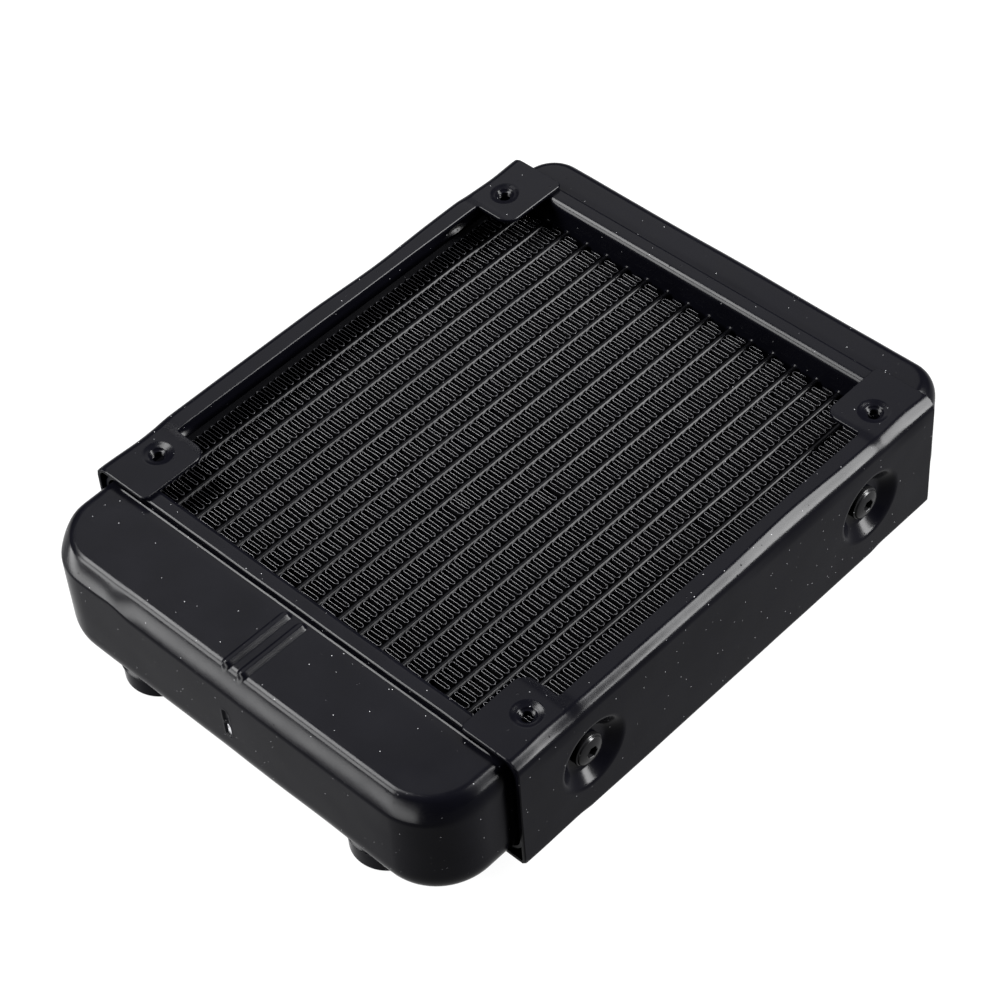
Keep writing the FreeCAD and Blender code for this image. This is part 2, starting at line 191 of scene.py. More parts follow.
def triangulate(outline, holes, inner):
    """Triangles of a flat region, with the given inner points. Returns points, triangles and,
    for the outline and each hole, the index of each of its points."""
    keep = inside_polygon(inner, outline) & (distance_to_polygon(inner, outline) > MESH_CLEARANCE)
    for hole in holes:
        keep &= ~inside_polygon(inner, hole) & (distance_to_polygon(inner, hole) > MESH_CLEARANCE)
    inner = inner[keep]
    loops = [outline] + holes
    edges = []
    start = 0
    for loop in loops:
        count = len(loop)
        edges += [(start + k, start + (k + 1) % count) for k in range(count)]
        start += count
    given = np.concatenate(loops + [inner])
    flat, _, faces, origin, _, _ = delaunay_2d_cdt(
        [Vector(p) for p in given], edges, [], 0, WELD
    )
    where = {}
    for k, sources in enumerate(origin):
        for source in sources:
            where[source] = k
    points = np.array([p[:] for p in flat])
    triangles = np.array(faces)
    middle = points[triangles].mean(axis=1)
    used = inside_polygon(middle, outline)
    for hole in holes:
        used &= ~inside_polygon(middle, hole)
    rings = []
    start = 0
    for loop in loops:
        rings.append([where[start + k] for k in range(len(loop))])
        start += len(loop)
    return points, triangles[used], rings


def sheet_rim(thickness=SHEET, radius=EDGE_R, steps=3):
    """Rounded edge of a sheet as (inset, depth) pairs, from its outer face to its inner face."""
    turn = np.linspace(0, math.pi / 2, steps + 1)
    first = [(radius * (1 - math.sin(a)), radius * (1 - math.cos(a))) for a in turn]
    last = [(inset, thickness - depth) for inset, depth in reversed(first)]
    return np.array(first + last)


def face_normals(place, flat, thickness):
    """Exact normals of a pressed sheet's outer and inner faces at its flat points."""
    step = 0.02
    sides = []
    for depth in (0.0, thickness):
        depths = np.full(len(flat), depth)
        along = [place(flat + move, depths) - place(flat - move, depths)
                 for move in (np.array([step, 0]), np.array([0, step]))]
        normal = np.cross(along[0], along[1])
        sides.append(normal / np.linalg.norm(normal, axis=1, keepdims=True))
    return np.concatenate(sides)


def pressed_sheet(place, outline, holes, inner, thickness=SHEET):
    """Closed mesh of a pressed sheet. outline and holes are (points, normals, rim): rim holds
    (inset, depth) rows that lead from the outer face round the edge to the inner face, the same
    for every point or one set for each. place() turns flat points and depths into space."""
    loops = []
    rims = []
    for points, normals, rim in [outline] + holes:
        rim = np.broadcast_to(rim, (len(points),) + rim.shape[-2:])
        rims.append(rim)
        loops.append(points + normals * rim[:, 0, 0:1])
    flat, triangles, rings = triangulate(loops[0], loops[1:], inner)
    count = len(flat)
    points = [place(flat, np.zeros(count)), place(flat, np.full(count, thickness))]
    faces = triangles.tolist() + (triangles[:, ::-1] + count).tolist()
    total = 2 * count
    for (loop, normals, _), rim, ring in zip([outline] + holes, rims, rings):
        size = len(loop)
        rows = [ring]
        for k in range(1, rim.shape[1] - 1):
            points.append(place(loop + normals * rim[:, k, 0:1], rim[:, k, 1]))
            rows.append(list(range(total, total + size)))
            total += size
        rows.append([count + r for r in ring])
        for row, below in zip(rows, rows[1:]):
            for k in range(size):
                after = (k + 1) % size
                faces.append([row[k], row[after], below[after], below[k]])
    return np.concatenate(points), faces, face_normals(place, flat, thickness)


def grid_points(us, vs):
    u, v = np.meshgrid(us, vs)
    return np.stack([u.ravel(), v.ravel()], axis=1)


def smooth_step(value, low, high):
    t = np.clip((value - low) / (high - low), 0, 1)
    return t * t * (3 - 2 * t)


def unevenness(points, size, depth, shift):
    """Slow hand-scale unevenness of a pressed sheet, in millimetres."""
    offset = Vector((shift, 2 * shift, 3 * shift))
    return depth * np.array([noise.noise(Vector(p) / size + offset) for p in points])


# ---- Materials ----


def new_material(name):
    material = bpy.data.materials.new(name)
    material.use_nodes = True
    tree = material.node_tree
    shader = tree.nodes["Principled BSDF"]
    return material, tree, shader


def math_node(tree, operation, first, second):
    node = tree.nodes.new("ShaderNodeMath")
    node.operation = operation
    for socket, value in zip(node.inputs, (first, second)):
        if isinstance(value, (int, float)):
            socket.default_value = value
        else:
            tree.links.new(value, socket)
    return node.outputs[0]


def noise_node(tree, coordinates, size, detail):
    """Noise whose features are about size millimetres across."""
    node = tree.nodes.new("ShaderNodeTexNoise")
    node.inputs["Scale"].default_value = 1 / (size * MM)
    node.inputs["Detail"].default_value = detail
    tree.links.new(coordinates, node.inputs["Vector"])
    return node.outputs["Fac"]


def ramp_node(tree, value, stops):
    node = tree.nodes.new("ShaderNodeValToRGB")
    ramp = node.color_ramp
    while len(ramp.elements) < len(stops):
        ramp.elements.new(0.5)
    for element, (position, level) in zip(ramp.elements, stops):
        element.position = position
        element.color = tuple(level) + (1,) if isinstance(level, tuple) else (level,) * 3 + (1,)
    tree.links.new(value, node.inputs["Fac"])
    return node.outputs["Color"]


def speck_mask(tree, coordinates, spacing, share, radius):
    """Round specks: one in a cell of the given spacing, in a share of the cells."""
    cells = tree.nodes.new("ShaderNodeTexVoronoi")
    cells.inputs["Scale"].default_value = 1 / (spacing * MM)
    tree.links.new(coordinates, cells.inputs["Vector"])
    split = tree.nodes.new("ShaderNodeSeparateColor")
    tree.links.new(cells.outputs["Color"], split.inputs["Color"])
    chosen = math_node(tree, "GREATER_THAN", split.outputs[0], 1 - share)
    fade = tree.nodes.new("ShaderNodeMapRange")
    fade.interpolation_type = "SMOOTHSTEP"
    fade.inputs["From Min"].default_value = radius / spacing
    fade.inputs["From Max"].default_value = 0.2 * radius / spacing
    tree.links.new(cells.outputs["Distance"], fade.inputs["Value"])
    return math_node(tree, "MULTIPLY", fade.outputs["Result"], chosen)


def bump_node(tree, height, distance, before=None):
    node = tree.nodes.new("ShaderNodeBump")
    node.inputs["Distance"].default_value = distance * MM
    tree.links.new(height, node.inputs["Height"])
    if before is not None:
        tree.links.new(before, node.inputs["Normal"])
    return node.outputs["Normal"]


CLOUD_SIZE = 9.0  # slow changes of tone and gloss
PEEL_SIZE = 0.9  # orange peel
NIB_SPACING = 2.3  # dust nibs under the paint
NIB_R = 0.2
NIB_HEIGHT = 0.09
DUST_SPACING = 2.1  # pale dust on the paint
DUST_R = 0.14
DUST_PER_NIB = 1.7
DUST_COLOUR = (0.06, 0.06, 0.062, 1)
MOTTLE_SIZE = 1.2
GRAIN_SIZE = 0.12


def painted_metal(name, base, roughness, ior, peel, nib_share):
    """Black stoving paint: orange peel, dust nibs under the paint and a little pale dust on it."""
    material, tree, shader = new_material(name)
    coordinates = tree.nodes.new("ShaderNodeTexCoord").outputs["Object"]
    cloud = noise_node(tree, coordinates, CLOUD_SIZE, 3.0)
    dust = speck_mask(tree, coordinates, DUST_SPACING, DUST_PER_NIB * nib_share, DUST_R)
    colour = tree.nodes.new("ShaderNodeMix")
    colour.data_type = "RGBA"
    tone = ramp_node(tree, cloud, [(0.3, tuple(0.8 * c for c in base)), (0.7, base)])
    tree.links.new(tone, colour.inputs["A"])
    colour.inputs["B"].default_value = DUST_COLOUR
    tree.links.new(dust, colour.inputs["Factor"])
    tree.links.new(colour.outputs["Result"], shader.inputs["Base Color"])
    shade = ramp_node(tree, cloud, [(0.25, roughness - 0.04), (0.75, roughness + 0.05)])
    tree.links.new(shade, shader.inputs["Roughness"])
    shader.inputs["IOR"].default_value = ior
    skin = bump_node(tree, noise_node(tree, coordinates, PEEL_SIZE, 2.0), peel)
    nibs = speck_mask(tree, coordinates, NIB_SPACING, nib_share, NIB_R)
    tree.links.new(bump_node(tree, nibs, NIB_HEIGHT, skin), shader.inputs["Normal"])
    return material


def metal(name, base, roughness, grain):
    """Metal with a fine uneven grain."""
    material, tree, shader = new_material(name)
    coordinates = tree.nodes.new("ShaderNodeTexCoord").outputs["Object"]
    mottle = noise_node(tree, coordinates, MOTTLE_SIZE, 4.0)
    tone = ramp_node(tree, mottle, [(0.3, tuple(0.7 * c for c in base)), (0.7, base)])
    tree.links.new(tone, shader.inputs["Base Color"])
    shade = ramp_node(tree, mottle, [(0.3, roughness - 0.06), (0.7, roughness + 0.08)])
    tree.links.new(shade, shader.inputs["Roughness"])
    shader.inputs["Metallic"].default_value = 1.0
    fine = noise_node(tree, coordinates, GRAIN_SIZE, 3.0)
    tree.links.new(bump_node(tree, fine, grain), shader.inputs["Normal"])
    return material


# Base tone, roughness, index of refraction, height of the peel, share of cells that hold a nib
body_paint = painted_metal("body_paint", (0.0003, 0.0003, 0.0005), 0.20, 1.08, 0.003, 0.5)
tank_paint = painted_metal("tank_paint", (0.0003, 0.0003, 0.0005), 0.21, 1.083, 0.004, 0.55)
core_paint = painted_metal("core_paint", (0.0005, 0.0005, 0.0006), 0.24, 1.15, 0.01, 0.05)
tube_paint = painted_metal("tube_paint", (0.0004, 0.0004, 0.0005), 0.24, 1.077, 0.006, 0.05)
fin_paint = painted_metal("fin_paint", (0.0005, 0.0005, 0.0006), 0.34, 1.145, 0.004, 0.02)
# The fin edges get a paint far lighter than the fins: a painted highlight along their rounded edges.
fin_edge_paint = painted_metal("fin_edge_paint", (0.0045, 0.0045, 0.005), 0.26, 1.145, 0.004, 0.02)
bare_metal = metal("bare_metal", (0.62, 0.62, 0.64), 0.32, 0.01)
oxide_steel = painted_metal("oxide_steel", (0.001, 0.001, 0.0011), 0.22, 1.14, 0.004, 0.02)

# ---- Side plates ----

UPPER_FOLD_R = 2.8
LOWER_FOLD_R = 1.3
EAR_START_Y = 45.5
EAR_CORNER_R = 3.2
EAR_END_R = 1.3
NOTCH_R = 0.8
NARROW_REACH_X = 54.2
FAN_HALF_PITCH = 52.5
DISH_Y = 42.6
DISH_FLOOR_R = 5.0
DISH_MOUTH_R = 9.1
DISH_EASE = 0.24  # share of the dish wall taken by each of its rounded ends
DISH_DEPTH = 2.5
DISH_GRID_R = 10.5  # the mesh runs in rings inside this radius
FLANGE_RISES = (0.4, 0.65)  # the narrow flanges spring out this far between the ears
FLANGE_RISE_ENDS = (43.5, 48.0)
SCREW_HOLE_R = 2.25
# Places where the fold was bent softer: middle along y, half length, how far the wall leans in
SOFT_FOLDS = ((-52.0, 6.0, 0.35), (19.0, 13.0, 0.65), (55.0, 6.0, 0.4))
SOFT_FOLD_DEPTH = 5.0  # the lean reaches this far down the wall from the face
SOFT_FOLD_REACH = 2.5  # and this far into the flange
PLATE_WAVES = ((17.0, 0.09, 0), (6.0, 0.02, 3))  # size, depth and noise shift
COLLAR_LOOP_R = 2.1
COLLAR_POINTS = 40
# A fan hole's section as (radius, depth): down into its dimple, and back up outside its collar
COLLAR_DIMPLE = (
    (3.7, 0.0), (3.4, 0.03), (3.1, 0.1), (2.8, 0.19), (2.5, 0.27), (2.25, 0.32),
    (2.05, 0.36), (1.95, 0.42), (1.9, 0.52), (1.82, 0.64), (1.68, 0.8),
)
COLLAR_OUTSIDE = ((1.55, 2.4), (1.9, 2.4), (2.08, 2.25), (2.2, 1.6), (2.7, 1.2), (3.7, 1.0))
THREAD_M3 = {"minor": 1.28, "depth": 0.3, "pitch": 0.5}

PLATE_EDGE_STEP = 1.3  # mesh spacing round the plate's edge
PLATE_LINES = 92  # mesh lines across the plate
DISH_RING_STEP = 0.5
DISH_RING_POINTS = 64

wall_x = PLATE_HIGH[0]


def fold_start(radius):
    """Unrolled place, from mid wall, where a fold of this radius starts."""
    return MID_Z - radius


def fold_end(radius):
    """Unrolled place where it ends."""
    return MID_Z - radius + radius * math.pi / 2


def flange_s(x, radius):
    """Unrolled place of a flange point."""
    return fold_end(radius) + (wall_x - radius - x)


def eased_ramp(t, ease):
    """Ramp from 0 to 1 with a straight middle and rounded ends."""
    t = np.clip(t, 0, 1)
    low = t * t / (2 * ease * (1 - ease))
    high = 1 - (1 - t) ** 2 / (2 * ease * (1 - ease))
    middle = (t - ease / 2) / (1 - ease)
    return np.where(t < ease, low, np.where(t > 1 - ease, high, middle))


def place_plate(flat, depth, side, shift):
    """Folds the flat pattern of a side plate: s up the section from mid wall, then y."""
    s, y = flat[:, 0], flat[:, 1]
    reach = np.abs(s)
    radius = np.where(s > 0, UPPER_FOLD_R, LOWER_FOLD_R)
    start, end = fold_start(radius), fold_end(radius)
    turn = np.clip((reach - start) / radius, 0, math.pi / 2)
    out_x, out_z = np.cos(turn), np.sin(turn)
    x = wall_x - radius + radius * out_x - np.maximum(reach - end, 0)
    z = np.minimum(reach, start) + radius * out_z
    from_dish = np.hypot(s, np.abs(y) - DISH_Y)
    dish = eased_ramp((from_dish - DISH_FLOOR_R) / (DISH_MOUTH_R - DISH_FLOOR_R), DISH_EASE)
    raised = -DISH_DEPTH * (1 - dish)
    on_flange = smooth_step((reach - start) / (end - start), 0, 1)
    rise = np.where(s > 0, *FLANGE_RISES)
    raised += rise * on_flange * (1 - smooth_step(np.abs(y), *FLANGE_RISE_ENDS))
    slow = np.stack([reach * np.sign(s), y, np.zeros_like(y)], axis=1)
    for size, height, offset in PLATE_WAVES:
        raised += unevenness(slow, size, height, shift + offset)
    lift = raised - depth
    lean = sum(push * np.exp(-((y - middle) / length) ** 2) for middle, length, push in SOFT_FOLDS)
    lean = lean * (s > 0) * smooth_step(z, MID_Z - SOFT_FOLD_DEPTH, MID_Z - 0.3)
    lean = lean * (1 - smooth_step(reach - end, 0, SOFT_FOLD_REACH))
    return np.stack([
        side * (x - lean + lift * out_x), y, MID_Z + np.where(s < 0, -1, 1) * (z + lift * out_z)
    ], axis=1)


def threaded_collar_rim():
    """Rows from the flange down its dimple, along the thread and back up outside the collar."""
    count = COLLAR_POINTS
    angle = np.arange(count) * 2 * math.pi / count
    rows = [np.broadcast_to(row, (count, 2)) for row in COLLAR_DIMPLE]
    pitch = THREAD_M3["pitch"]
    for level in np.arange(COLLAR_DIMPLE[-1][1] + 0.05, COLLAR_OUTSIDE[0][1] - 0.1, pitch / 6):
        phase = np.mod(level / pitch - angle / (2 * math.pi), 1)
        crest = np.abs(2 * phase - 1)
        rows.append(np.stack([
            THREAD_M3["minor"] + THREAD_M3["depth"] * crest, np.full(count, level)
        ], axis=1))
    rows += [np.broadcast_to(row, (count, 2)) for row in COLLAR_OUTSIDE]
    rim = np.stack(rows, axis=1).copy()
    rim[:, :, 0] -= COLLAR_LOOP_R
    return rim


def side_plate(side):
    end_y = PLATE_HIGH[1]
    halves = []
    for radius in (UPPER_FOLD_R, LOWER_FOLD_R):
        ear_s = flange_s(PLATE_LOW[0], radius)
        narrow_s = flange_s(NARROW_REACH_X, radius)
        halves.append([
            (ear_s, -end_y, EAR_END_R), (ear_s, -EAR_START_Y, EAR_CORNER_R),
            (narrow_s, -EAR_START_Y, NOTCH_R), (narrow_s, EAR_START_Y, NOTCH_R),
            (ear_s, EAR_START_Y, EAR_CORNER_R), (ear_s, end_y, EAR_END_R),
        ])
    upper = halves[0]
    lower = [(-s, y, radius) for s, y, radius in reversed(halves[1])]
    points, normals = rounded_loop(upper + lower, PLATE_EDGE_STEP)
    outline = (points, normals, sheet_rim())
    holes = []
    for s in (-flange_s(FAN_HALF_PITCH, LOWER_FOLD_R), flange_s(FAN_HALF_PITCH, UPPER_FOLD_R)):
        for y in (-FAN_HALF_PITCH, FAN_HALF_PITCH):
            loop, away = circle_loop(s, y, COLLAR_LOOP_R, COLLAR_POINTS)
            holes.append((loop, away, threaded_collar_rim()))
    for y in (-DISH_Y, DISH_Y):
        loop, away = circle_loop(0, y, SCREW_HOLE_R, COLLAR_POINTS)
        holes.append((loop, away, sheet_rim()))
    s_lines = []
    for sign, radius in ((1, UPPER_FOLD_R), (-1, LOWER_FOLD_R)):
        flats = np.linspace(0, fold_start(radius), 10)[:-1]
        folds = np.linspace(fold_start(radius), fold_end(radius), 10)
        ears = np.linspace(fold_end(radius), flange_s(PLATE_LOW[0], radius), 9)[1:-1]
        s_lines.append(sign * np.concatenate([flats, folds, ears]))
    s_lines = np.unique(np.concatenate(s_lines))
    y_lines = np.linspace(-end_y, end_y, PLATE_LINES)
    inner = grid_points(s_lines, y_lines)
    near = np.hypot(inner[:, 0], np.abs(inner[:, 1]) - DISH_Y) < DISH_GRID_R
    rings = [inner[~near]]
    for y in (-DISH_Y, DISH_Y):
        for radius in np.arange(SCREW_HOLE_R + 0.6, DISH_GRID_R, DISH_RING_STEP):
            rings.append(circle_loop(0, y, radius, DISH_RING_POINTS)[0])
    inner = np.concatenate(rings)
    tag = "right" if side > 0 else "left"

    def place(flat, depth):
        return place_plate(flat, depth, side, SEED + side)

    made, faces, known = pressed_sheet(place, outline, holes, inner)
    add_piece(
        "plate_" + tag, made, faces, [body_paint], ["side_plate_" + tag],
        known=known,
    )


for plate_side in (-1, 1):
    side_plate(plate_side)

# ---- Turned pieces ----


def ring_quads(rows, size, closed):
    """Faces between neighbouring rings of points; closed joins the last ring to the first."""
    faces = []
    for row in range(rows if closed else rows - 1):
        below = (row + 1) % rows
        for k in range(size):
            after = (k + 1) % size
            faces.append([
                row * size + k, row * size + after, below * size + after, below * size + k,
            ])
    return faces


def turned(profiles, closed):
    """Mesh of rings about Z: profiles is (rows, segments, 2) of radius and height."""
    rows, segments = profiles.shape[:2]
    angle = np.arange(segments) * 2 * math.pi / segments
    x = profiles[:, :, 0] * np.cos(angle)
    y = profiles[:, :, 0] * np.sin(angle)
    points = np.stack([x, y, profiles[:, :, 1]], axis=2).reshape(-1, 3)
    faces = ring_quads(rows, segments, closed)
    if not closed:
        faces.append(list(range(segments)))
        faces.append(list(range((rows - 1) * segments, rows * segments)))
    return points, faces


def level_row(radius, height, segments):
    return np.stack([np.broadcast_to(radius, segments), np.full(segments, height)], axis=1)


PORT_PITCH = 1.337  # G1/4 thread
PORT_MINOR_R = 5.72
PORT_THREAD_DEPTH = 0.8
PORT_X = (BOSS_LOW[0] + BOSS_HIGH[0]) / 2
PORT_Y = (BOSS_LOW[1] + BOSS_HIGH[1]) / 2
BOSS_R = (BOSS_HIGH[0] - BOSS_LOW[0]) / 2
BOSS_SEAT_R = 7.35  # hole in the tank's floor
BOSS_SEGMENTS = 96


def port_boss(tag, x):
    """Turned boss with a cut G1/4 thread and a chamfered mouth."""
    segments = BOSS_SEGMENTS
    low, high = BOSS_LOW[2], BOSS_HIGH[2]
    tank_floor = RETURN_TANK_LOW[2]
    angle = np.arange(segments) * 2 * math.pi / segments
    outside = [
        (BOSS_SEAT_R - 0.05, high), (BOSS_SEAT_R, tank_floor + 0.25), (BOSS_R + 0.35, tank_floor + 0.1),
        (BOSS_R + 0.1, tank_floor - 0.25), (BOSS_R, tank_floor - 0.6), (BOSS_R, low + 0.75),
        (BOSS_R - 0.08, low + 0.58), (BOSS_R - 0.6, low + 0.1), (BOSS_R - 0.8, low),
        (6.95, low), (6.8, low + 0.06), (6.0, low + 0.85),
    ]
    rows = [level_row(radius, height, segments) for radius, height in outside]
    for level in np.arange(low + 0.9, high - 0.25, PORT_PITCH / 10):
        phase = np.mod(level / PORT_PITCH - angle / (2 * math.pi), 1)
        crest = np.clip(1.3 * np.abs(2 * phase - 1) - 0.15, 0, 1)
        fade = smooth_step(level, high - 0.3, high - 1.2)
        rows.append(level_row(PORT_MINOR_R + PORT_THREAD_DEPTH * crest * fade, level, segments))
    rows += [level_row(5.9, high - 0.1, segments), level_row(6.1, high, segments)]
    points, faces = turned(np.stack(rows), True)
    inside_from = (len(outside) - 2) * segments
    inside_to = (len(rows) - 2) * segments
    slots = [1 if inside_from <= k < inside_to else 0 for k in range(len(faces))]
    points += np.array([x, PORT_Y, 0])
    add_piece(
        tag + "_boss_turned", points, faces, [body_paint, bare_metal], [tag + "_boss"],
        slots,
    )


port_boss("inlet", -PORT_X)
port_boss("outlet", PORT_X)

SCREW_HEAD_R = 3.8  # M4 button head
SCREW_HEAD_HEIGHT = 2.0
SCREW_HEAD_DOME = 0.7  # fall of the dome from the middle to its rim
SOCKET_FLATS = 2.5
SOCKET_DEPTH = 1.2
SCREW_SEGMENTS = 72
# Rim of the head and shank as (radius, height over the seat)
SCREW_SECTION = (
    (3.36, 1.42), (3.42, 1.22), (3.5, 1.16), (3.7, 1.12), (3.79, 1.0), (3.8, 0.8),
    (3.76, 0.1), (3.6, 0.0), (1.95, 0.0), (1.9, -0.1), (1.9, -3.0), (1.6, -3.2),
)


def side_screw():
    """Button head screw on the origin, head towards +Z, as points and faces."""
    segments = SCREW_SEGMENTS
    angle = np.arange(segments) * 2 * math.pi / segments
    sector = math.pi / 3
    hexagon = SOCKET_FLATS / 2 / np.cos(np.mod(angle, sector) - sector / 2)
    top = SCREW_HEAD_HEIGHT
    rows = [
        level_row(hexagon * 0.05, top - SOCKET_DEPTH - 0.25, segments),
        level_row(hexagon * 0.9, top - SOCKET_DEPTH, segments),
        level_row(hexagon, top - SOCKET_DEPTH + 0.05, segments),
        level_row(hexagon, top - 0.12, segments),
        level_row(hexagon + 0.08, top - 0.03, segments),
        level_row(hexagon + 0.2, top, segments),
    ]
    for share in np.linspace(0.45, 0.86, 8):
        dome = top - SCREW_HEAD_DOME * share ** 3
        rows.append(level_row(SCREW_HEAD_R * share, dome, segments))
    rows += [level_row(radius, height, segments) for radius, height in SCREW_SECTION]
    return turned(np.stack(rows), False)


def side_screws():
    """Four screws, seated on the floors of the dishes, each turned to its own angle."""
    head, faces = side_screw()
    points = []
    all_faces = []
    turn = random.Random(SEED)
    seat = wall_x - DISH_DEPTH
    for side in (-1, 1):
        for y in (-DISH_Y, DISH_Y):
            angle = turn.uniform(0, math.pi / 3)
            a = head[:, 0] * math.cos(angle) - head[:, 1] * math.sin(angle)
            b = head[:, 0] * math.sin(angle) + head[:, 1] * math.cos(angle)
            start = len(points) * len(head)
            points.append(np.stack([side * (seat + head[:, 2]), y + a, MID_Z + b], axis=1))
            all_faces += [[start + k for k in face] for face in faces]
    add_piece(
        "dish_screws", np.concatenate(points), all_faces, [oxide_steel], ["side_screws"],
    )


side_screws()

# ---- Core ----

TUBE_COUNT = 18
TUBE_PITCH = 6.0
TUBE_WALL = 0.3
TUBE_RINGS = 150
TUBE_RIPPLE = 0.03  # waves as long as the fin pitch
TUBE_RIPPLE_LENGTH = 2.2
TUBE_SWAY = 0.1  # slow waves
TUBE_SWAY_LENGTH = 23.0
TUBE_HALF = (TUBE_HIGH[0] - TUBE_LOW[0]) / 2
CORE_LOW_Z, CORE_HIGH_Z = TUBE_LOW[2], TUBE_HIGH[2]


def tube_x(index):
    return (index - (TUBE_COUNT - 1) / 2) * TUBE_PITCH


def flat_tube(index):
    """One flat tube with round noses and the faint ripple that brazed fins leave in it."""
    half_depth = (CORE_HIGH_Z - CORE_LOW_Z) / 2 - TUBE_HALF
    turn = np.linspace(0, math.pi, 9)
    top = np.stack([TUBE_HALF * np.cos(turn), half_depth + TUBE_HALF * np.sin(turn)], axis=1)
    side = np.array([[-TUBE_HALF, half_depth * t] for t in (0.6, 0.0, -0.6)])
    section = np.concatenate([top, side, -top, -side])
    scale = np.array([1 - TUBE_WALL / TUBE_HALF, 1 - TUBE_WALL / (half_depth + TUBE_HALF)])
    ys = np.linspace(TUBE_LOW[1], TUBE_HIGH[1], TUBE_RINGS)
    count = len(section)
    ripple = np.array([
        noise.noise(Vector((index * 3.7, y / TUBE_RIPPLE_LENGTH, SEED))) * TUBE_RIPPLE
        + noise.noise(Vector((index * 5.1, y / TUBE_SWAY_LENGTH, SEED))) * TUBE_SWAY for y in ys
    ])
    rows = []
    for shape in (section, section * scale):
        for y, sway in zip(ys, ripple):
            rows.append(np.stack([
                tube_x(index) + shape[:, 0] + sway, np.full(count, y), MID_Z + shape[:, 1]
            ], axis=1))
        ys, ripple = ys[::-1], ripple[::-1]
    faces = ring_quads(len(rows), count, True)
    node = "tube_%02d" % (index + 1)
    add_piece("flat_" + node, np.concatenate(rows), faces, [tube_paint], [node])


for tube_index in range(TUBE_COUNT):
    flat_tube(tube_index)

FIN_WAVES = 60
FIN_THICK = 0.15
FIN_ARC_PARTS = 5
FIN_ARC_DEPTH = 0.47  # the round turns are never deeper than this
FIN_LEG_SHARES = (0.12, 0.4, 0.68)
FIN_BOWS = (0.05, 0.22)  # least and most bow of a strip's legs
FIN_STAGGER = 0.12  # legs stand closer in pairs by up to this
FIN_JITTER = 0.035
FIN_WANDER = 0.10
FIN_SWAY = 0.14  # lean of the upper edges
FIN_LEVELS = (0.55, 0.84)  # heights up the strip where its faces can bend, as shares
# Knocked places in the fins: strip, y, length along y, how far the top edge is pushed along y
FIN_KNOCKS = (
    (3, 49.0, 4.0, 0.5), (8, 50.0, 3.0, -0.45), (9, -18.5, 2.0, 0.55), (11, -3.0, 1.6, -0.5),
    (11, 53.0, 3.0, 0.5), (12, 30.0, 1.6, 0.4), (14, 47.0, 2.5, -0.4), (6, 54.5, 2.5, 0.5),
    (16, 12.0, 1.8, 0.4), (5, -40.0, 1.5, 0.35), (2, 20.0, 1.5, -0.35), (17, 52.0, 2.4, 0.4),
)


def fin_path(index, low, high, y_low, y_high):
    """Centre line of one folded strip: legs across the row, joined by round turns."""
    rng = random.Random(SEED * 100 + index)
    legs = 2 * FIN_WAVES
    step = (y_high - y_low) / legs
    mirrored = rng.random() < 0.5
    bow = rng.uniform(*FIN_BOWS)
    stagger = rng.uniform(-FIN_STAGGER, FIN_STAGGER)
    drift = rng.uniform(0, 9)
    ys = []
    for k in range(legs):
        wander = FIN_WANDER * noise.noise(Vector((index * 2.3, k / 9.0, drift)))
        pair = stagger if k % 2 else -stagger
        ys.append(y_low + (k + 0.5) * step + wander + pair + rng.uniform(-FIN_JITTER, FIN_JITTER))
    points = []
    for k in range(legs):
        outward = 1 if (k % 2 == 0) != mirrored else -1
        start_x, end_x = (low, high) if outward > 0 else (high, low)
        following = ys[k + 1] if k + 1 < legs else ys[k] + step
        radius = (following - ys[k]) / 2
        depth = min(radius, FIN_ARC_DEPTH)
        for t in FIN_LEG_SHARES:
            x = start_x + outward * depth + t * (end_x - start_x - 2 * outward * depth)
            lean = bow * (t - FIN_LEG_SHARES[1]) ** 2 * (1 if k % 2 else -0.4)
            points.append((x, ys[k] + lean))
        if k + 1 < legs:
            for part in range(FIN_ARC_PARTS + 1):
                angle = math.pi * part / FIN_ARC_PARTS
                points.append((
                    end_x - outward * depth + outward * depth * math.sin(angle),
                    ys[k] + radius * (1 - math.cos(angle)),
                ))
    return np.array(points)


